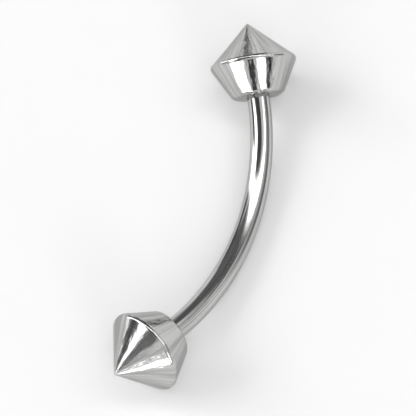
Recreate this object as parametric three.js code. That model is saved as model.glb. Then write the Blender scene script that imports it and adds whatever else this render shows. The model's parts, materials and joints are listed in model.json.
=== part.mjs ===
// Curved eyebrow barbell: a bent steel wire with a threaded stud at each end, and a screw-on cone on each
// stud. Millimetres, +Z up. The jewel lies as it comes to rest on a table: on the rims of its two cones
// and on the middle of its bar. X runs from cone to cone, and the hollow side of the bend faces +Y.

import * as THREE from 'three';

// Bar
const wireDiameter = 1.02; // 18 gauge
const wearableLength = 12; // straight from end face to end face, the length that a jewel is sold by
const bendAngle = THREE.MathUtils.degToRad(62); // between the directions of the two studs

// Threaded studs
const studLength = 1.9; // from a cone's end face to the tip of the stud
const threadDiameter = 0.88;
const threadPitch = 0.25;
const threadDepth = 0.13;
const studTipChamfer = 0.12;

// Cone ends, with their diameters where the straight sides would meet without the rounding
const rimDiameter = 4;
const coneHeight = 1.85;
const skirtLength = 1.55;
const endFaceDiameter = 2.3;
const tipRounding = 0.07;
const rimRounding = 0.2;
const endFaceRounding = 0.28;
const holeMouthDiameter = 1.14;
const countersinkAngle = THREE.MathUtils.degToRad(90);
const drillPointAngle = THREE.MathUtils.degToRad(118);

// Clearances
const seatGap = 0.03; // between the shoulder of the bar and the countersink that it seats in
const threadClearance = 0.03; // between the crest of the thread and the hole, on the radius
const holeBottomClearance = 0.3; // past the tip of the stud

// Facets
const barSides = 24;
const coneSides = 48;
const roundingSteps = 4;
const bendSteps = 44;
const stepsPerPitch = 6;
const tiltSearchSteps = 40;

// Sizes that follow from the driving ones
const wireRadius = wireDiameter / 2;
const threadRadius = threadDiameter / 2;
const halfBend = bendAngle / 2;
const bendRadius = wearableLength / 2 / Math.sin(halfBend);
const halfArc = bendRadius * halfBend;
const faceOffset = bendRadius * (1 - Math.cos(halfBend)); // from the bar's middle to its end faces
const holeMouthRadius = holeMouthDiameter / 2;
const countersinkSlope = Math.tan(countersinkAngle / 2);
const shoulder = halfArc + (holeMouthRadius - wireRadius) / countersinkSlope - seatGap;
const studTip = halfArc + studLength;
const holeRadius = threadRadius + threadClearance;
const countersinkDepth = (holeMouthRadius - holeRadius) / countersinkSlope;
const holeDepth = studLength + holeBottomClearance;
const drillPointDepth = holeRadius / Math.tan(drillPointAngle / 2);
const rimRadius = rimDiameter / 2;
const coneHalfAngle = Math.atan2(rimRadius, coneHeight);

const steel = { color: 0xc9cacc, metalness: 1, roughness: 0.16 };

// The outline with each inner corner rounded to the radius listed for it. The first and last points stay.
function roundOutline(corners) {
  const outline = [];
  corners.forEach(({ x, y, rounding = 0 }, index) => {
    const corner = new THREE.Vector2(x, y);
    if (rounding === 0) {
      outline.push(corner);
      return;
    }
    const before = new THREE.Vector2(corners[index - 1].x, corners[index - 1].y).sub(corner).normalize();
    const after = new THREE.Vector2(corners[index + 1].x, corners[index + 1].y).sub(corner).normalize();
    const halfAngle = Math.acos(before.dot(after)) / 2;
    const middle = before.clone().add(after).normalize();
    const centre = corner.clone().addScaledVector(middle, rounding / Math.sin(halfAngle));
    const start = before.multiplyScalar(rounding / Math.tan(halfAngle)).add(corner).sub(centre);
    const end = after.multiplyScalar(rounding / Math.tan(halfAngle)).add(corner).sub(centre);
    const turn = Math.atan2(start.cross(end), start.dot(end));
    for (let step = 0; step <= roundingSteps; step += 1) {
      const spoke = start.clone().rotateAround(new THREE.Vector2(), (turn * step) / roundingSteps);
      outline.push(centre.clone().add(spoke));
    }
  });
  return outline;
}

// The outline of a cone end: x is the radius, and y runs from the end face at 0 to the tip.
function coneEndOutline() {
  const tipStartRadius = tipRounding * Math.cos(coneHalfAngle);
  const tipStart = skirtLength + coneHeight - tipStartRadius / Math.tan(coneHalfAngle);
  return roundOutline([
    { x: 0, y: holeDepth + drillPointDepth },
    { x: holeRadius, y: holeDepth },
    { x: holeRadius, y: countersinkDepth },
    { x: holeMouthRadius, y: 0 },
    { x: endFaceDiameter / 2, y: 0, rounding: endFaceRounding },
    { x: rimRadius, y: skirtLength, rounding: rimRounding },
    { x: tipStartRadius, y: tipStart },
    { x: 0, y: tipStart + tipRounding * (1 - Math.sin(coneHalfAngle)) },
  ]);
}

// The outline of the bar before it is bent: x is the radius, and y runs along the bar from its middle.
function straightBarOutline() {
  const half = [];
  for (let step = 0; step <= bendSteps / 2; step += 1) {
    half.push(new THREE.Vector2(wireRadius, (halfArc * step) / (bendSteps / 2)));
  }
  half.push(new THREE.Vector2(wireRadius, shoulder));
  const threadLength = studTip - studTipChamfer - shoulder;
  const threadSteps = Math.round((threadLength / threadPitch) * stepsPerPitch);
  for (let step = 0; step <= threadSteps; step += 1) {
    half.push(new THREE.Vector2(threadRadius, shoulder + (threadLength * step) / threadSteps));
  }
  half.push(new THREE.Vector2(threadRadius - studTipChamfer, studTip));
  half.push(new THREE.Vector2(0, studTip));
  const otherHalf = half.slice(1).map((point) => new THREE.Vector2(point.x, -point.y));
  return [...otherHalf.reverse(), ...half];
}

// How deep the right-handed thread is cut at a place along the bar and a turn around it.
function threadCut(along, turn) {
  const intoStud = Math.abs(along) - shoulder;
  const phase = THREE.MathUtils.euclideanModulo(along / threadPitch - turn / (2 * Math.PI), 1);
  const groove = 1 - Math.abs(2 * phase - 1);
  const runOut = THREE.MathUtils.smoothstep(intoStud, 0, threadPitch);
  const leadIn = THREE.MathUtils.smoothstep(studTip - Math.abs(along), 0, studTipChamfer);
  return threadDepth * groove * runOut * leadIn;
}

// Cuts the threads into the straight bar and bends it, with the hollow side of the bend towards +Y.
function cutThreadsAndBend(geometry) {
  const position = geometry.attributes.position;
  for (let index = 0; index < position.count; index += 1) {
    const along = position.getY(index);
    const turn = Math.atan2(position.getX(index), position.getZ(index));
    const uncut = Math.hypot(position.getX(index), position.getZ(index));
    const radius = uncut > 0 ? uncut - threadCut(along, turn) : 0;
    const bent = THREE.MathUtils.clamp(along, -halfArc, halfArc);
    const angle = bent / bendRadius;
    const outward = bendRadius + radius * Math.sin(turn);
    position.setXYZ(
      index,
      outward * Math.sin(angle) + (along - bent) * Math.cos(angle),
      bendRadius - outward * Math.cos(angle) + (along - bent) * Math.sin(angle),
      radius * Math.cos(turn),
    );
  }
  return geometry;
}

function makeCurvedBar() {
  const straight = new THREE.LatheGeometry(straightBarOutline(), barSides);
  const bar = new THREE.Mesh(cutThreadsAndBend(straight), new THREE.MeshStandardMaterial(steel));
  bar.name = 'curved_bar';
  return bar;
}

// side is -1 for the left end and 1 for the right one.
function makeConeEnd(name, side) {
  const geometry = new THREE.LatheGeometry(coneEndOutline(), coneSides);
  const coneEnd = new THREE.Mesh(geometry, new THREE.MeshStandardMaterial(steel));
  coneEnd.name = name;
  const stud = new THREE.Vector3(side * Math.cos(halfBend), Math.sin(halfBend), 0);
  coneEnd.position.set((side * wearableLength) / 2, faceOffset, 0);
  coneEnd.quaternion.setFromUnitVectors(new THREE.Vector3(0, 1, 0), stud);
  return coneEnd;
}

// The height of the lowest point of a cone end above the lowest point of the bar's middle, when the
// jewel is turned by tilt about X.
function coneHeightAboveBar(tilt) {
  const rise = Math.sin(halfBend) * Math.sin(tilt);
  const faceHeight = faceOffset * Math.sin(tilt);
  const lowest = coneEndOutline().map(({ x, y }) => faceHeight + y * rise - x * Math.sqrt(1 - rise * rise));
  return Math.min(...lowest) + wireRadius;
}

// The tilt at which both rims and the middle of the bar touch the table, found by halving the interval.
function restTilt() {
  let low = 0;
  let high = Math.PI / 2;
  for (let step = 0; step < tiltSearchSteps; step += 1) {
    const middle = (low + high) / 2;
    if (coneHeightAboveBar(middle) < 0) {
      low = middle;
    } else {
      high = middle;
    }
  }
  return (low + high) / 2;
}

const jewel = new THREE.Group();
jewel.add(makeCurvedBar(), makeConeEnd('cone_end_left', -1), makeConeEnd('cone_end_right', 1));
jewel.rotation.x = restTilt();

// The origin is on the table, under the middle of the jewel.
const barbell = new THREE.Group();
barbell.add(jewel);
const reach = new THREE.Box3().setFromObject(barbell, true);
jewel.position.set(0, -(reach.min.y + reach.max.y) / 2, -reach.min.z);

export default barbell;
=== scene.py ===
"""Curved eyebrow barbell of polished steel, with two screw-on cone ends, lying on a pale table."""

import json
import logging
import math
from dataclasses import dataclass
from enum import Enum

import bmesh
import bpy
from mathutils import Matrix, Vector

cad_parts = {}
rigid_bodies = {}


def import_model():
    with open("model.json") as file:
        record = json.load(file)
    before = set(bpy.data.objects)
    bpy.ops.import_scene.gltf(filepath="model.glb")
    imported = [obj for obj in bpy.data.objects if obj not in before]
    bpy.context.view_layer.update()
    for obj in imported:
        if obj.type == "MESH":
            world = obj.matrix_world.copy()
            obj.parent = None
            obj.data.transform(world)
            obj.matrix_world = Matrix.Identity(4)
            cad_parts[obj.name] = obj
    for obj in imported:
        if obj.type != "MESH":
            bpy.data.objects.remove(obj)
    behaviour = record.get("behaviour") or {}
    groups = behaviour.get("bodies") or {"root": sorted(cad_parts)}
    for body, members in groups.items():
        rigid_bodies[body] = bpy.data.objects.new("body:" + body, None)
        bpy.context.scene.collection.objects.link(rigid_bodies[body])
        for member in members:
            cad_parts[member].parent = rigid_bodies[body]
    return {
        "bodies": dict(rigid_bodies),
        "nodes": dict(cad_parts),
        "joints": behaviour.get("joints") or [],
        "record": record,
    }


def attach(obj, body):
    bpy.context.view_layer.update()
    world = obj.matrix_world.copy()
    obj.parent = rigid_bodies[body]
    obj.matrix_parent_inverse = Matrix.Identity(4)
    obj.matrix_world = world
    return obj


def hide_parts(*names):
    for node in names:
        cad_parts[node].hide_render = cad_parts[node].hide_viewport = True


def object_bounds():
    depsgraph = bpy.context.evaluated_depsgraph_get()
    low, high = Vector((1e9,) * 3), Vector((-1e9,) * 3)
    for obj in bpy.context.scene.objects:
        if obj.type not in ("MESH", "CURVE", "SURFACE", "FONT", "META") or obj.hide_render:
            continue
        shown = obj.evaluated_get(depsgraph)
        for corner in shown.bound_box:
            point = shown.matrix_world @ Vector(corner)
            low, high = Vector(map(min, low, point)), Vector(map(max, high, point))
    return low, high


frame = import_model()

CAD_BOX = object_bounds()

MM = 0.001  # metres in a millimetre
TURN = 2 * math.pi  # radians in a full turn
WELD_DISTANCE = 1e-7  # metres, far less than the smallest facet
AXIS_REACH = 1e-6  # millimetres, within which a point of an outline lies on its axis

log = logging.getLogger("barbell")


class Side(Enum):
    """The two ends of the bar, as seen with the hollow side of the bend facing away."""

    LEFT = "left"
    RIGHT = "right"

    @property
    def sign(self) -> int:
        """Direction along X: -1 for the left end, 1 for the right one."""
        return -1 if self is Side.LEFT else 1


def srgb(hex_colour: str) -> tuple[float, float, float, float]:
    """Turns an sRGB hex colour into the linear colour that a shader takes, by the standard sRGB curve.

    Args:
        hex_colour: Six hex digits, such as "C8C7C4".

    Returns:
        Linear red, green and blue, with alpha 1.
    """
    channels = [int(hex_colour[place : place + 2], 16) / 255 for place in (0, 2, 4)]
    linear = [c / 12.92 if c <= 0.04045 else ((c + 0.055) / 1.055) ** 2.4 for c in channels]
    return (*linear, 1.0)


def direction(azimuth: float, elevation: float) -> Vector:
    """Points away from the jewel: azimuth 0 is on the -Y side, and a quarter turn is on the +X side.

    Args:
        azimuth: Angle round Z, in radians.
        elevation: Angle above the table, in radians.

    Returns:
        The direction, with length 1.
    """
    return Vector((
        math.sin(azimuth) * math.cos(elevation),
        -math.cos(azimuth) * math.cos(elevation),
        math.sin(elevation),
    ))


def add_node(tree: bpy.types.NodeTree, kind: str, settings: dict[str, object] | None = None,
             inputs: dict[str | int, object] | None = None) -> bpy.types.Node:
    """Adds one node to a tree.

    Args:
        tree: The shader or geometry tree.
        kind: The node's type name.
        settings: Attributes of the node, by name.
        inputs: Values or output sockets for its inputs, by socket name or place.

    Returns:
        The new node.
    """
    node = tree.nodes.new(kind)
    for name, value in (settings or {}).items():
        setattr(node, name, value)
    for name, value in (inputs or {}).items():
        if isinstance(value, bpy.types.NodeSocket):
            tree.links.new(value, node.inputs[name])
        else:
            node.inputs[name].default_value = value
    return node


@dataclass(frozen=True)
class JewelPlace:
    """Where the jewel lies, read from the frame. Lengths are in metres, and angles in radians."""

    # Half the angle between the two studs, and how far the plane of the bend leans up from the table.
    half_bend: float
    tilt: float
    bend_radius: float
    wire_radius: float
    middle: Vector

    @classmethod
    def from_frame(cls, packed: dict) -> "JewelPlace":
        """Works the bend and the tilt out from the right stud's axis and the bar's mount.


        Returns:
            The jewel's place.
        """
        record = packed["record"]
        stud = next(j for j in record["behaviour"]["joints"] if j["name"] == "right_unscrew")["axis"]
        bar = next(m for m in record["mounts"] if m["name"] == "bar_in_piercing")
        half_bend = math.acos(stud[0])
        wearable_length = bar["dims"]["length_mm"] * MM
        return cls(
            half_bend=half_bend,
            tilt=math.atan2(stud[2], stud[1]),
            bend_radius=wearable_length / 2 / math.sin(half_bend),
            wire_radius=bar["dims"]["r_mm"] * MM,
            middle=Vector(bar["pos_m"]),
        )

    @property
    def half_arc(self) -> float:
        """Length of the wire from its middle to where a cone's end face lies."""
        return self.bend_radius * self.half_bend

    def end_matrix(self, side: Side) -> Matrix:
        """The place of a cone end: its face at the end of the bend, and its own +Z out along the stud.

        Args:
            side: Which end of the bar.

        Returns:
            The matrix that takes the cone's own coordinates to the frame's.
        """
        along = Vector((side.sign * math.cos(self.half_bend), math.sin(self.half_bend), 0.0))
        face = Vector((
            side.sign * self.bend_radius * math.sin(self.half_bend),
            self.bend_radius * (1 - math.cos(self.half_bend)),
            0.0,
        ))
        turned = along.to_track_quat("Z", "Y").to_matrix().to_4x4()
        lain = Matrix.Translation(self.middle) @ Matrix.Rotation(self.tilt, 4, "X")
        return lain @ Matrix.Translation(face) @ turned


@dataclass(frozen=True)
class Mark:
    """One kind of mark on a surface, drawn as noise. Detail and breakup say how finely it is broken up."""

    size_mm: tuple[float, float, float]
    detail: float
    breakup: float = 0.5

    def draw(self, tree: bpy.types.NodeTree, place: bpy.types.NodeSocket) -> bpy.types.NodeSocket:
        """Adds the noise of the mark.

        Args:
            tree: The material's tree.
            place: The piece's own millimetres, along which the mark has its size.

        Returns:
            How strong the mark is at each point, from 0 to 1.
        """
        stretched = add_node(tree, "ShaderNodeMapping", {"vector_type": "POINT"}, {
            "Vector": place,
            "Scale": [1 / size for size in self.size_mm],
        })
        noise = add_node(tree, "ShaderNodeTexNoise", inputs={
            "Vector": stretched.outputs["Vector"],
            "Scale": 1.0,
            "Detail": self.detail,
            "Roughness": self.breakup,
        })
        return noise.outputs["Fac"]


@dataclass(frozen=True)
class PolishedSteel:
    """What the two steels share: a near mirror with fine tool lines, haze in streaks and a soft waviness.

    A piece keeps its own millimetres in an attribute. Real tool lines are a few thousandths of a millimetre
    wide, too fine to show in the render, so they are drawn about ten times as coarse.
    """

    name: str
    attribute: str
    colour: str
    haze_colour: str
    roughness: float
    roughness_spread: float
    lines: Mark
    line_depth_mm: float
    streaks: Mark
    waves: Mark
    wave_depth_mm: float
    # Steel mirrors a little less just short of its outline.
    edge_colour: str = "D8D8D8"
    # The strengths between which a line roughens the mirror and a streak dulls it, from not at all to fully.
    line_start: float = 0.3
    line_full: float = 0.7
    streak_start: float = 0.38
    streak_full: float = 0.66

    def build(self) -> bpy.types.Material:
        """Makes the material.

        Returns:
            The material, for a piece that has the attribute.
        """
        material = bpy.data.materials.new(self.name)
        material.use_nodes = True
        tree = material.node_tree
        tree.nodes.clear()
        place = add_node(tree, "ShaderNodeAttribute", {"attribute_name": self.attribute}).outputs["Vector"]
        lines = self.lines.draw(tree, place)
        haze = add_node(tree, "ShaderNodeMapRange", {"interpolation_type": "SMOOTHSTEP"}, {
            "Value": self.streaks.draw(tree, place),
            "From Min": self.streak_start,
            "From Max": self.streak_full,
        })
        tone = add_node(tree, "ShaderNodeMix", {"data_type": "RGBA"}, {
            "Factor": haze.outputs["Result"],
            "A": srgb(self.colour),
            "B": srgb(self.haze_colour),
        })
        roughness = add_node(tree, "ShaderNodeMapRange", inputs={
            "Value": lines,
            "From Min": self.line_start,
            "From Max": self.line_full,
            "To Min": self.roughness,
            "To Max": self.roughness + self.roughness_spread,
        })
        wave_bump = add_node(tree, "ShaderNodeBump", inputs={
            "Strength": 1.0,
            "Distance": self.wave_depth_mm * MM,
            "Height": self.waves.draw(tree, place),
        })
        line_bump = add_node(tree, "ShaderNodeBump", inputs={
            "Strength": 1.0,
            "Distance": self.line_depth_mm * MM,
            "Height": lines,
            "Normal": wave_bump.outputs["Normal"],
        })
        steel = add_node(tree, "ShaderNodeBsdfPrincipled", inputs={
            "Base Color": tone.outputs["Result"],
            "Metallic": 1.0,
            "Specular Tint": srgb(self.edge_colour),
            "Roughness": roughness.outputs["Result"],
            "Normal": line_bump.outputs["Normal"],
        })
        add_node(tree, "ShaderNodeOutputMaterial", inputs={"Surface": steel.outputs["BSDF"]})
        return material


@dataclass(frozen=True)
class DrawnWireSteel(PolishedSteel):
    """Stainless steel wire, drawn and then polished along its length.

    The attribute's first coordinate runs along the wire, and the other two across it.
    """

    # To the eye: long even bands of black and white along the wire, with edges that are softened by the
    # drawing lines and that waver a little.
    name: str = "polished drawn wire steel"
    attribute: str = "straightened"
    colour: str = "C8C8C7"
    haze_colour: str = "B4B4B3"
    roughness: float = 0.075
    roughness_spread: float = 0.06
    lines: Mark = Mark(size_mm=(2.2, 0.035, 0.035), detail=3.0, breakup=0.6)
    line_depth_mm: float = 0.0006
    streaks: Mark = Mark(size_mm=(3.5, 0.14, 0.14), detail=2.0, breakup=0.55)
    waves: Mark = Mark(size_mm=(1.1, 1.1, 1.1), detail=1.0)
    wave_depth_mm: float = 0.0035


@dataclass(frozen=True)
class TurnedConeSteel(PolishedSteel):
    """Stainless steel rod, turned to a cone on a lathe and polished on a wheel.

    The attribute's first two coordinates go round the rim, and the third along the cone's outline. So the
    lines are rings round the axis, and the streaks run from the tip to the rim. Both draw together at the
    tip.
    """

    # To the eye: wedges of black, grey and white that meet at the tip, with ragged edges where the wheel has
    # left the flank a little uneven, and grey streaks of haze from the tip to the rim.
    name: str = "polished turned cone steel"
    attribute: str = "turned"
    colour: str = "C7C7C6"
    haze_colour: str = "A6A6A5"
    roughness: float = 0.08
    roughness_spread: float = 0.07
    lines: Mark = Mark(size_mm=(0.8, 0.8, 0.05), detail=3.0, breakup=0.6)
    line_depth_mm: float = 0.0007
    streaks: Mark = Mark(size_mm=(0.275, 0.275, 4.0), detail=2.0, breakup=0.55)
    waves: Mark = Mark(size_mm=(0.3, 0.3, 0.6), detail=1.0)
    wave_depth_mm: float = 0.015


@dataclass(frozen=True)
class MattTableTop:
    """A matt lacquered table top."""

    # To the eye: an even pale ground that takes soft shadows and mirrors nothing.
    name: str = "pale matt table"
    colour: str = "F9F9F9"
    roughness: float = 0.9

    def build(self) -> bpy.types.Material:
        """Makes the material.

        Returns:
            The material, the same all over.
        """
        material = bpy.data.materials.new(self.name)
        material.use_nodes = True
        shader = material.node_tree.nodes["Principled BSDF"]
        shader.inputs["Base Color"].default_value = srgb(self.colour)
        shader.inputs["Roughness"].default_value = self.roughness
        return material


@dataclass
class CurvedBar:
    """The bent wire with a right-handed thread on each stud. Lengths are in millimetres."""

    place: JewelPlace
    # From the end of the bend to the tip of the stud, and to the shoulder where the stud begins.
    stud_reach: float = 1.9
    shoulder_reach: float = 0.03
    shoulder_rounding: float = 0.03
    # The wire is this much thinner in radius than the CAD's, so that its finer facets stay inside the CAD's
    # box.
    wire_inset: float = 0.002
    thread_diameter: float = 0.88
    thread_pitch: float = 0.25
    thread_depth: float = 0.13
    # The part of the pitch that is flat on either side of the middle of a crest or a root.
    thread_flat: float = 0.06
    tip_chamfer: float = 0.12
    # About 13 rings to each pitch of the thread.
    ring_spacing: float = 0.0185
    sides: int = 64

    def build(self, material: bpy.types.Material) -> bpy.types.Object:
        """Sweeps, threads and bends the bar with Geometry Nodes.

        Args:
            material: The finish of the bar.

        Returns:
            The finished piece, a plain mesh.
        """
        inputs = self.tree_inputs(material)
        tree = self.node_tree({name: kind for name, (kind, _) in inputs.items()})
        host = bpy.data.objects.new("bar_host", bpy.data.meshes.new("bar_host"))
        bpy.context.collection.objects.link(host)
        modifier = host.modifiers.new("bent threaded bar", "NODES")
        modifier.node_group = tree
        for socket in tree.interface.items_tree:
            if socket.in_out == "INPUT":
                modifier[socket.identifier] = inputs[socket.name][1]
        evaluated = host.evaluated_get(bpy.context.evaluated_depsgraph_get())
        mesh = bpy.data.meshes.new_from_object(evaluated)
        bpy.data.objects.remove(host)
        mesh.name = "polished_bar"
        bar = bpy.data.objects.new("polished_bar", mesh)
        bpy.context.collection.objects.link(bar)
        return bar

    def tree_inputs(self, material: bpy.types.Material) -> dict[str, tuple[str, object]]:
        """Lists the inputs of the tree, with lengths in metres.

        Args:
            material: The finish of the bar.

        Returns:
            Each input's kind of socket and its value, by name.
        """
        half_length = self.place.half_arc + self.stud_reach * MM
        return {
            "Rings": ("NodeSocketInt", int(2 * half_length / (self.ring_spacing * MM))),
            "Sides": ("NodeSocketInt", self.sides),
            "Half arc": ("NodeSocketFloat", self.place.half_arc),
            "Stud reach": ("NodeSocketFloat", self.stud_reach * MM),
            "Shoulder reach": ("NodeSocketFloat", self.shoulder_reach * MM),
            "Shoulder rounding": ("NodeSocketFloat", self.shoulder_rounding * MM),
            "Wire radius": ("NodeSocketFloat", self.place.wire_radius - self.wire_inset * MM),
            "Bend radius": ("NodeSocketFloat", self.place.bend_radius),
            "Thread radius": ("NodeSocketFloat", self.thread_diameter / 2 * MM),
            "Thread pitch": ("NodeSocketFloat", self.thread_pitch * MM),
            "Thread depth": ("NodeSocketFloat", self.thread_depth * MM),
            "Thread flat": ("NodeSocketFloat", self.thread_flat),
            "Tip chamfer": ("NodeSocketFloat", self.tip_chamfer * MM),
            "Cap length": ("NodeSocketFloat", self.ring_spacing * MM / 2),
            "Tilt": ("NodeSocketFloat", self.place.tilt),
            "Middle": ("NodeSocketVector", self.place.middle),
            "Steel": ("NodeSocketMaterial", material),
        }

    def node_tree(self, kinds: dict[str, str]) -> bpy.types.NodeTree:
        """Builds the tree: a sheet of rings and sides is rolled up, threaded, bent, tilted and closed.

        Args:
            kinds: The kind of socket of each input, by name.

        Returns:
            The geometry tree.
        """
        tree = bpy.data.node_groups.new("bent threaded bar", "GeometryNodeTree")
        for name, kind in kinds.items():
            tree.interface.new_socket(name, in_out="INPUT", socket_type=kind)
        tree.interface.new_socket("Geometry", in_out="OUTPUT", socket_type="NodeSocketGeometry")
        given = add_node(tree, "NodeGroupInput").outputs

        # On the flat sheet, X is the way along the wire, and Y the turn round it.
        half = add_node(tree, "ShaderNodeMath", {"operation": "ADD"}, {
            0: given["Half arc"], 1: given["Stud reach"],
        })
        length = add_node(tree, "ShaderNodeMath", {"operation": "MULTIPLY"}, {0: half.outputs[0], 1: 2.0})
        seam = add_node(tree, "ShaderNodeMath", {"operation": "ADD"}, {0: given["Sides"], 1: 1.0})
        sheet = add_node(tree, "GeometryNodeMeshGrid", inputs={
            "Size X": length.outputs[0],
            "Size Y": TURN,
            "Vertices X": given["Rings"],
            "Vertices Y": seam.outputs[0],
        })
        position = add_node(tree, "GeometryNodeInputPosition")
        flat = add_node(tree, "ShaderNodeSeparateXYZ", inputs={0: position.outputs[0]})
        along, turn = flat.outputs["X"], flat.outputs["Y"]

        radius = self.threaded_radius(tree, half.outputs[0], along, turn)
        sine = add_node(tree, "ShaderNodeMath", {"operation": "SINE"}, {0: turn})
        cosine = add_node(tree, "ShaderNodeMath", {"operation": "COSINE"}, {0: turn})
        aside = add_node(tree, "ShaderNodeMath", {"operation": "MULTIPLY"}, {
            0: radius, 1: sine.outputs[0],
        })
        above = add_node(tree, "ShaderNodeMath", {"operation": "MULTIPLY"}, {
            0: radius, 1: cosine.outputs[0],
        })
        straightened = add_node(tree, "ShaderNodeCombineXYZ", inputs={
            "X": along, "Y": aside.outputs[0], "Z": above.outputs[0],
        })
        in_millimetres = add_node(tree, "ShaderNodeVectorMath", {"operation": "SCALE"}, {
            0: straightened.outputs[0], "Scale": 1 / MM,
        })
        kept = add_node(tree, "GeometryNodeStoreNamedAttribute", {
            "data_type": "FLOAT_VECTOR", "domain": "POINT",
        }, {
            "Geometry": sheet.outputs["Mesh"], "Name": "straightened", "Value": in_millimetres.outputs[0],
        })
        bent = self.bent_position(tree, along, aside.outputs[0], above.outputs[0])
        rolled = add_node(tree, "GeometryNodeSetPosition", inputs={
            "Geometry": kept.outputs[0], "Position": bent,
        })
        closed = add_node(tree, "GeometryNodeMergeByDistance", inputs={
            "Geometry": rolled.outputs[0], "Distance": WELD_DISTANCE,
        })
        smooth = add_node(tree, "GeometryNodeSetShadeSmooth", inputs={"Geometry": closed.outputs[0]})
        real = add_node(tree, "GeometryNodeRealizeInstances", inputs={"Geometry": smooth.outputs[0]})
        dressed = add_node(tree, "GeometryNodeSetMaterial", inputs={
            "Geometry": real.outputs[0], "Material": given["Steel"],
        })
        add_node(tree, "NodeGroupOutput", inputs={"Geometry": dressed.outputs[0]})
        return tree

    def threaded_radius(self, tree: bpy.types.NodeTree, half_length: bpy.types.NodeSocket,
                        along: bpy.types.NodeSocket, turn: bpy.types.NodeSocket) -> bpy.types.NodeSocket:
        """Adds the nodes for the radius of the wire, its shoulders and its threaded studs.

        Args:
            tree: The tree, with its inputs declared.
            half_length: From the middle of the wire to a stud's tip.
            along: The way along the wire, from its middle.
            turn: The turn round the wire.

        Returns:
            The radius at each point.
        """
        given = add_node(tree, "NodeGroupInput").outputs
        distance = add_node(tree, "ShaderNodeMath", {"operation": "ABSOLUTE"}, {0: along})
        shoulder = add_node(tree, "ShaderNodeMath", {"operation": "ADD"}, {
            0: given["Half arc"], 1: given["Shoulder reach"],
        })
        past_shoulder = add_node(tree, "ShaderNodeMath", {"operation": "SUBTRACT"}, {
            0: distance.outputs[0], 1: shoulder.outputs[0],
        })
        to_tip = add_node(tree, "ShaderNodeMath", {"operation": "SUBTRACT"}, {
            0: half_length, 1: distance.outputs[0],
        })
        uncut = add_node(tree, "ShaderNodeMapRange", {"interpolation_type": "LINEAR"}, {
            "Value": past_shoulder.outputs[0],
            "From Min": 0.0,
            "From Max": given["Shoulder rounding"],
            "To Min": given["Wire radius"],
            "To Max": given["Thread radius"],
        })
        tip_radius = add_node(tree, "ShaderNodeMath", {"operation": "SUBTRACT"}, {
            0: given["Thread radius"], 1: given["Tip chamfer"],
        })
        chamfer = add_node(tree, "ShaderNodeMath", {"operation": "ADD"}, {
            0: tip_radius.outputs[0], 1: to_tip.outputs[0],
        })
        blank = add_node(tree, "ShaderNodeMath", {"operation": "MINIMUM"}, {
            0: uncut.outputs[0], 1: chamfer.outputs[0],
        })

        # The groove runs from a crest at 0 to a root at half a pitch and back. It fades out at the shoulder
        # and at the tip.
        pitches = add_node(tree, "ShaderNodeMath", {"operation": "DIVIDE"}, {
            0: along, 1: given["Thread pitch"],
        })
        turns = add_node(tree, "ShaderNodeMath", {"operation": "DIVIDE"}, {0: turn, 1: TURN})
        phase = add_node(tree, "ShaderNodeMath", {"operation": "SUBTRACT"}, {
            0: pitches.outputs[0], 1: turns.outputs[0],
        })
        from_crest = add_node(tree, "ShaderNodeMath", {"operation": "PINGPONG"}, {
            0: phase.outputs[0], 1: 0.5,
        })
        root = add_node(tree, "ShaderNodeMath", {"operation": "SUBTRACT"}, {0: 0.5, 1: given["Thread flat"]})
        groove = add_node(tree, "ShaderNodeMapRange", {"interpolation_type": "LINEAR"}, {
            "Value": from_crest.outputs[0],
            "From Min": given["Thread flat"],
            "From Max": root.outputs[0],
            "To Min": 0.0,
            "To Max": given["Thread depth"],
        })
        run_out = add_node(tree, "ShaderNodeMapRange", {"interpolation_type": "SMOOTHSTEP"}, {
            "Value": past_shoulder.outputs[0],
            "From Min": 0.0,
            "From Max": given["Thread pitch"],
        })
        lead_in = add_node(tree, "ShaderNodeMapRange", {"interpolation_type": "SMOOTHSTEP"}, {
            "Value": to_tip.outputs[0],
            "From Min": 0.0,
            "From Max": given["Tip chamfer"],
        })
        faded = add_node(tree, "ShaderNodeMath", {"operation": "MULTIPLY"}, {
            0: run_out.outputs[0], 1: lead_in.outputs[0],
        })
        cut = add_node(tree, "ShaderNodeMath", {"operation": "MULTIPLY"}, {
            0: groove.outputs[0], 1: faded.outputs[0],
        })
        threaded = add_node(tree, "ShaderNodeMath", {"operation": "SUBTRACT"}, {
            0: blank.outputs[0], 1: cut.outputs[0],
        })

        # The last ring at each tip shrinks to one point, which closes the bar.
        cap = add_node(tree, "ShaderNodeMapRange", {"interpolation_type": "LINEAR"}, {
            "Value": to_tip.outputs[0],
            "From Min": 0.0,
            "From Max": given["Cap length"],
        })
        radius = add_node(tree, "ShaderNodeMath", {"operation": "MULTIPLY"}, {
            0: threaded.outputs[0], 1: cap.outputs[0],
        })
        return radius.outputs[0]

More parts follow.
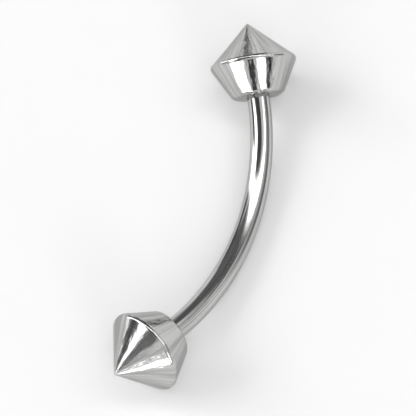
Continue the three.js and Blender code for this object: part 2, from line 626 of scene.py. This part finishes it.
    def bent_position(self, tree: bpy.types.NodeTree, along: bpy.types.NodeSocket,
                      aside: bpy.types.NodeSocket, above: bpy.types.NodeSocket) -> bpy.types.NodeSocket:
        """Adds the nodes that bend the straight bar and lay it on the table.

        Args:
            tree: The tree, with its inputs declared.
            along: The way along the wire, from its middle.
            aside: The distance from the wire's centre line towards the outside of the bend.
            above: The distance from the centre line out of the plane of the bend.

        Returns:
            The place of each point in the frame.
        """
        given = add_node(tree, "NodeGroupInput").outputs
        start = add_node(tree, "ShaderNodeMath", {"operation": "MULTIPLY"}, {0: given["Half arc"], 1: -1.0})
        bent = add_node(tree, "ShaderNodeClamp", inputs={
            "Value": along, "Min": start.outputs[0], "Max": given["Half arc"],
        })
        straight = add_node(tree, "ShaderNodeMath", {"operation": "SUBTRACT"}, {
            0: along, 1: bent.outputs[0],
        })
        angle = add_node(tree, "ShaderNodeMath", {"operation": "DIVIDE"}, {
            0: bent.outputs[0], 1: given["Bend radius"],
        })
        sine = add_node(tree, "ShaderNodeMath", {"operation": "SINE"}, {0: angle.outputs[0]})
        cosine = add_node(tree, "ShaderNodeMath", {"operation": "COSINE"}, {0: angle.outputs[0]})
        outward = add_node(tree, "ShaderNodeMath", {"operation": "ADD"}, {0: given["Bend radius"], 1: aside})
        across = add_node(tree, "ShaderNodeMath", {"operation": "MULTIPLY"}, {
            0: outward.outputs[0], 1: sine.outputs[0],
        })
        bent_x = add_node(tree, "ShaderNodeMath", {"operation": "MULTIPLY_ADD"}, {
            0: straight.outputs[0], 1: cosine.outputs[0], 2: across.outputs[0],
        })
        depth = add_node(tree, "ShaderNodeMath", {"operation": "MULTIPLY"}, {
            0: outward.outputs[0], 1: cosine.outputs[0],
        })
        sag = add_node(tree, "ShaderNodeMath", {"operation": "SUBTRACT"}, {
            0: given["Bend radius"], 1: depth.outputs[0],
        })
        bent_y = add_node(tree, "ShaderNodeMath", {"operation": "MULTIPLY_ADD"}, {
            0: straight.outputs[0], 1: sine.outputs[0], 2: sag.outputs[0],
        })
        upright = add_node(tree, "ShaderNodeCombineXYZ", inputs={
            "X": bent_x.outputs[0], "Y": bent_y.outputs[0], "Z": above,
        })
        tilted = add_node(tree, "ShaderNodeVectorRotate", {"rotation_type": "X_AXIS"}, {
            "Vector": upright.outputs[0], "Angle": given["Tilt"],
        })
        placed = add_node(tree, "ShaderNodeVectorMath", {"operation": "ADD"}, {
            0: tilted.outputs[0], 1: given["Middle"],
        })
        return placed.outputs[0]


@dataclass(frozen=True)
class Corner:
    """One corner of a turned outline, in millimetres: radius, height along the axis, and rounding."""

    radius: float
    height: float
    rounding: float = 0.0

    @property
    def point(self) -> Vector:
        """The corner as a point, with its radius first."""
        return Vector((self.radius, self.height))


@dataclass
class ConeEnd:
    """A screw-on cone end with a blind hole in its end face. Lengths are in millimetres."""

    place: JewelPlace
    side: Side
    # These two are 0.004 mm less than the CAD's, so that the finer facets stay inside the CAD's box.
    rim_diameter: float = 3.996
    cone_height: float = 1.846
    skirt_length: float = 1.55
    end_face_diameter: float = 2.3
    tip_rounding: float = 0.07
    rim_rounding: float = 0.2
    end_face_rounding: float = 0.28
    hole_diameter: float = 0.94
    hole_depth: float = 2.2
    mouth_diameter: float = 1.14
    mouth_rounding: float = 0.02
    countersink_angle: float = math.radians(90)
    drill_point_angle: float = math.radians(118)
    sides: int = 192
    rounding_steps: int = 14
    # How far beyond a rounding the outline has one more point, which keeps the flat next to it flat.
    support: float = 0.015
    # An edge that turns more than this is sharp.
    crease_angle: float = math.radians(30)

    def corners(self) -> list[Corner]:
        """Lists the outline's corners, from the bottom of the hole round to the tip."""
        hole_radius = self.hole_diameter / 2
        mouth_radius = self.mouth_diameter / 2
        point_depth = hole_radius / math.tan(self.drill_point_angle / 2)
        mouth_depth = (mouth_radius - hole_radius) / math.tan(self.countersink_angle / 2)
        return [
            Corner(0.0, self.hole_depth + point_depth),
            Corner(hole_radius, self.hole_depth),
            Corner(hole_radius, mouth_depth),
            Corner(mouth_radius, 0.0, self.mouth_rounding),
            Corner(self.end_face_diameter / 2, 0.0, self.end_face_rounding),
            Corner(self.rim_diameter / 2, self.skirt_length, self.rim_rounding),
            Corner(0.0, self.skirt_length + self.cone_height, self.tip_rounding),
        ]

    def round_corner(self, before: Corner, corner: Corner, after: Corner) -> list[Vector]:
        """Rounds one corner, and adds a support point on either side of it.

        Args:
            before: The corner before it.
            corner: The corner to round.
            after: The corner after it.

        Returns:
            The points that stand in for the corner.
        """
        here = corner.point
        back = before.point - here
        on = after.point - here
        half_angle = back.angle(on) / 2
        reach = corner.rounding / math.tan(half_angle)
        points = [here + back.normalized() * (reach + self.support)]
        if corner.rounding == 0:
            points.append(here)
        else:
            middle = (back.normalized() + on.normalized()).normalized()
            centre = here + middle * corner.rounding / math.sin(half_angle)
            start = here + back.normalized() * reach - centre
            end = here + on.normalized() * reach - centre
            sweep = start.angle_signed(end)
            for step in range(self.rounding_steps + 1):
                spoke = start.copy()
                spoke.rotate(Matrix.Rotation(-sweep * step / self.rounding_steps, 2))
                points.append(centre + spoke)
        points.append(here + on.normalized() * (reach + self.support))
        return points

    def outline(self) -> list[Vector]:
        """Rounds every corner of the outline, which starts and ends on the axis."""
        corners = self.corners()
        # The tip is rounded as a corner between the flank and its mirror image on the other side.
        mirrored = Corner(-corners[-2].radius, corners[-2].height)
        points = []
        for before, corner, after in zip(corners, corners[1:], corners[2:] + [mirrored]):
            points += self.round_corner(before, corner, after)
        off_axis = [point for point in points if point.x > AXIS_REACH]
        return [corners[0].point, *off_axis, Vector((0.0, max(point.y for point in points)))]

    def add_rings(self, shape: bmesh.types.BMesh) -> list[list[bmesh.types.BMVert]]:
        """Adds a ring of vertices for each point of the outline, or one vertex for a point on the axis.

        Args:
            shape: The mesh that they are added to. It also gets the millimetres that the finish reads.

        Returns:
            The rings, from the bottom of the hole round to the tip.
        """
        turned = shape.verts.layers.float_vector.new("turned")
        rim_radius = self.rim_diameter / 2
        outline = self.outline()
        walked = 0.0
        rings = []
        for index, point in enumerate(outline):
            walked += (point - outline[index - 1]).length if index else 0.0
            count = self.sides if point.x > 0 else 1
            ring = []
            for side in range(count):
                cosine = math.cos(TURN * side / count)
                sine = math.sin(TURN * side / count)
                vertex = shape.verts.new((point.x * cosine, point.x * sine, point.y))
                vertex[turned] = (rim_radius * cosine, rim_radius * sine, walked)
                ring.append(vertex)
            rings.append(ring)
        return rings

    def build(self, material: bpy.types.Material) -> bpy.types.Object:
        """Turns the outline round the stud's axis.

        Args:
            material: The finish of the cone.

        Returns:
            The finished piece.
        """
        shape = bmesh.new()
        rings = self.add_rings(shape)
        for ring, next_ring in zip(rings, rings[1:]):
            for side in range(self.sides):
                after = (side + 1) % self.sides
                quad = [
                    ring[side % len(ring)], ring[after % len(ring)],
                    next_ring[after % len(next_ring)], next_ring[side % len(next_ring)],
                ]
                # Beside the axis two of the four are the same vertex, and the face is a triangle.
                shape.faces.new(list(dict.fromkeys(quad)))
        bmesh.ops.recalc_face_normals(shape, faces=shape.faces)
        for face in shape.faces:
            face.smooth = True
        for edge in shape.edges:
            edge.smooth = edge.calc_face_angle(0.0) < self.crease_angle
        shape.transform(Matrix.Scale(MM, 4))
        shape.transform(self.place.end_matrix(self.side))
        name = f"polished_cone_{self.side.value}"
        mesh = bpy.data.meshes.new(name)
        shape.to_mesh(mesh)
        shape.free()
        mesh.materials.append(material)
        cone = bpy.data.objects.new(name, mesh)
        bpy.context.collection.objects.link(cone)
        return cone


@dataclass(frozen=True)
class StudioPanel:
    """One white softbox or black card of the studio, far off in one direction. Angles are in degrees."""

    # Where its middle is, as direction() counts, and how wide and high it looks from the jewel.
    azimuth: float
    elevation: float
    width: float
    height: float
    brightness: float
    # How wide the panel's edge fades.
    softness: float = 8.0

    def lay_over(self, tree: bpy.types.NodeTree, outward: bpy.types.NodeSocket,
                 behind: bpy.types.NodeSocket) -> bpy.types.NodeSocket:
        """Adds the panel in front of what is already there.

        Args:
            tree: The world's tree.
            outward: The direction that is looked in.
            behind: The brightness without this panel.

        Returns:
            The brightness with this panel.
        """
        azimuth = math.radians(self.azimuth)
        middle = direction(azimuth, math.radians(self.elevation))
        along_width = Vector((math.cos(azimuth), math.sin(azimuth), 0.0))
        along_height = middle.cross(along_width)
        facing = add_node(tree, "ShaderNodeVectorMath", {"operation": "DOT_PRODUCT"}, {
            0: outward, 1: middle,
        })
        masks = []
        for edge, span in ((along_width, self.width), (along_height, self.height)):
            offset = add_node(tree, "ShaderNodeVectorMath", {"operation": "DOT_PRODUCT"}, {
                0: outward, 1: edge,
            })
            angle = add_node(tree, "ShaderNodeMath", {"operation": "ARCTAN2"}, {
                0: offset.outputs["Value"], 1: facing.outputs["Value"],
            })
            distance = add_node(tree, "ShaderNodeMath", {"operation": "ABSOLUTE"}, {0: angle.outputs[0]})
            masks.append(add_node(tree, "ShaderNodeMapRange", {"interpolation_type": "SMOOTHSTEP"}, {
                "Value": distance.outputs[0],
                "From Min": math.radians(span / 2 + self.softness / 2),
                "From Max": math.radians(span / 2 - self.softness / 2),
            }))
        mask = add_node(tree, "ShaderNodeMath", {"operation": "MULTIPLY"}, {
            0: masks[0].outputs["Result"], 1: masks[1].outputs["Result"],
        })
        laid = add_node(tree, "ShaderNodeMapRange", inputs={
            "Value": mask.outputs[0], "To Min": behind, "To Max": self.brightness,
        })
        return laid.outputs["Result"]


@dataclass
class Studio:
    """A pale table under soft studio light, and the camera. Lengths are in metres."""

    table_size: float = 1.2
    # What the camera sees beyond the table, and how bright the studio is between the panels.
    backdrop: float = 0.95
    surround: float = 0.8
    light_colour: str = "FFFFFF"
    # The light is patchy by this share either way, as in a room, in patches of about a ninth of a radian.
    unevenness: float = 0.3
    uneven_cells: float = 9.0
    uneven_detail: float = 2.0
    uneven_start: float = 0.35
    uneven_full: float = 0.65
    # White softboxes are brighter than 1, and black cards darker. A later panel stands in front of an
    # earlier one.
    panels: tuple[StudioPanel, ...] = (
        StudioPanel(azimuth=195, elevation=75, width=50, height=42, brightness=0.08),
        StudioPanel(azimuth=186, elevation=24, width=28, height=52, brightness=4.6),
        StudioPanel(azimuth=122, elevation=42, width=62, height=50, brightness=0.15),
        StudioPanel(azimuth=76, elevation=62, width=56, height=18, brightness=0.13, softness=6),
        StudioPanel(azimuth=31, elevation=45, width=10, height=9, brightness=0.1, softness=5),
        StudioPanel(azimuth=157, elevation=8, width=24, height=32, brightness=0.12, softness=6),
        StudioPanel(azimuth=122, elevation=2, width=10, height=16, brightness=0.2),
        StudioPanel(azimuth=95, elevation=75, width=108, height=9, brightness=4.0, softness=5),
        StudioPanel(azimuth=30, elevation=10, width=22, height=36, brightness=0.25, softness=6),
        StudioPanel(azimuth=193, elevation=13, width=19, height=27, brightness=0.14, softness=5),
        StudioPanel(azimuth=212, elevation=35, width=10, height=18, brightness=4.6, softness=4),
        StudioPanel(azimuth=233, elevation=42, width=28, height=20, brightness=0.2),
        StudioPanel(azimuth=257, elevation=11, width=27, height=21, brightness=4.8, softness=5),
        StudioPanel(azimuth=278, elevation=3, width=16, height=14, brightness=4.8, softness=4),
        StudioPanel(azimuth=290, elevation=23, width=14, height=20, brightness=0.06, softness=5),
        StudioPanel(azimuth=318, elevation=22, width=18, height=26, brightness=4.4, softness=5),
        StudioPanel(azimuth=336, elevation=11, width=11, height=24, brightness=0.03, softness=4),
    )
    # The camera's place is the photograph's. The lens and the sensor are in millimetres.
    camera_azimuth: float = math.radians(-58.6)
    camera_elevation: float = math.radians(65.4)
    camera_roll: float = math.radians(-13.3)
    camera_distance: float = 0.177
    camera_lens: float = 345.0
    camera_sensor: float = 36.0
    camera_nearest: float = 0.01
    camera_farthest: float = 5.0

    def build(self, target: Vector) -> None:
        """Sets the table, the light and the camera.

        Args:
            target: The point that the camera looks at.
        """
        self.build_table()
        self.build_light()
        self.build_camera(target)

    def build_table(self) -> None:
        """Lays the pale table top under the jewel."""
        half = self.table_size / 2
        corners = [(-half, -half, 0), (half, -half, 0), (half, half, 0), (-half, half, 0)]
        mesh = bpy.data.meshes.new("table")
        mesh.from_pydata(corners, [], [(0, 1, 2, 3)])
        mesh.materials.append(MattTableTop().build())
        table = bpy.data.objects.new("table", mesh)
        bpy.context.collection.objects.link(table)

    def build_light(self) -> None:
        """Lights the jewel with a grey surround that has white softboxes and black cards in it."""
        world = bpy.data.worlds.new("studio surround")
        world.use_nodes = True
        bpy.context.scene.world = world
        tree = world.node_tree
        tree.nodes.clear()
        outward = add_node(tree, "ShaderNodeTexCoord").outputs["Generated"]
        brightness = add_node(tree, "ShaderNodeValue").outputs[0]
        brightness.default_value = self.surround
        for panel in self.panels:
            brightness = panel.lay_over(tree, outward, brightness)
        patches = add_node(tree, "ShaderNodeTexNoise", inputs={
            "Vector": outward,
            "Scale": self.uneven_cells,
            "Detail": self.uneven_detail,
        })
        patchiness = add_node(tree, "ShaderNodeMapRange", inputs={
            "Value": patches.outputs["Fac"],
            "From Min": self.uneven_start,
            "From Max": self.uneven_full,
            "To Min": 1 - self.unevenness,
            "To Max": 1 + self.unevenness,
        })
        patchy = add_node(tree, "ShaderNodeMath", {"operation": "MULTIPLY"}, {
            0: brightness, 1: patchiness.outputs["Result"],
        })
        # The camera itself sees an even white beyond the table.
        ray = add_node(tree, "ShaderNodeLightPath")
        shown = add_node(tree, "ShaderNodeMapRange", inputs={
            "Value": ray.outputs["Is Camera Ray"], "To Min": patchy.outputs[0], "To Max": self.backdrop,
        })
        light = add_node(tree, "ShaderNodeBackground", inputs={
            "Color": srgb(self.light_colour), "Strength": shown.outputs["Result"],
        })
        add_node(tree, "ShaderNodeOutputWorld", inputs={"Surface": light.outputs[0]})

    def build_camera(self, target: Vector) -> None:
        """Puts the camera at the photograph's angle.

        Args:
            target: The point that the camera looks at.
        """
        toward = direction(self.camera_azimuth, self.camera_elevation)
        data = bpy.data.cameras.new("camera")
        data.lens = self.camera_lens
        data.sensor_width = self.camera_sensor
        data.clip_start = self.camera_nearest
        data.clip_end = self.camera_farthest
        camera = bpy.data.objects.new("camera", data)
        camera.location = target + toward * self.camera_distance
        level = (-toward).to_track_quat("-Z", "Y")
        camera.rotation_mode = "QUATERNION"
        camera.rotation_quaternion = level @ Matrix.Rotation(self.camera_roll, 3, "Z").to_quaternion()
        bpy.context.collection.objects.link(camera)
        bpy.context.scene.camera = camera
        # The bright bands stay white, as in the photograph.
        bpy.context.scene.view_settings.view_transform = "Standard"


def main() -> None:
    """Builds the jewel and its studio, and rides each piece on its body."""
    logging.basicConfig(level=logging.INFO, format="%(name)s: %(message)s")
    place = JewelPlace.from_frame(frame)
    bar = CurvedBar(place).build(DrawnWireSteel().build())
    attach(bar, "bar")
    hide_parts("curved_bar")
    log.info("%s: %d faces", bar.name, len(bar.data.polygons))
    cone_steel = TurnedConeSteel().build()
    for side in Side:
        cone = ConeEnd(place, side).build(cone_steel)
        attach(cone, f"{side.value}_end")
        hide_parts(f"cone_end_{side.value}")
        log.info("%s: %d faces", cone.name, len(cone.data.polygons))
    low, high = CAD_BOX
    Studio().build((low + high) / 2)


if __name__ == "__main__":
    main()
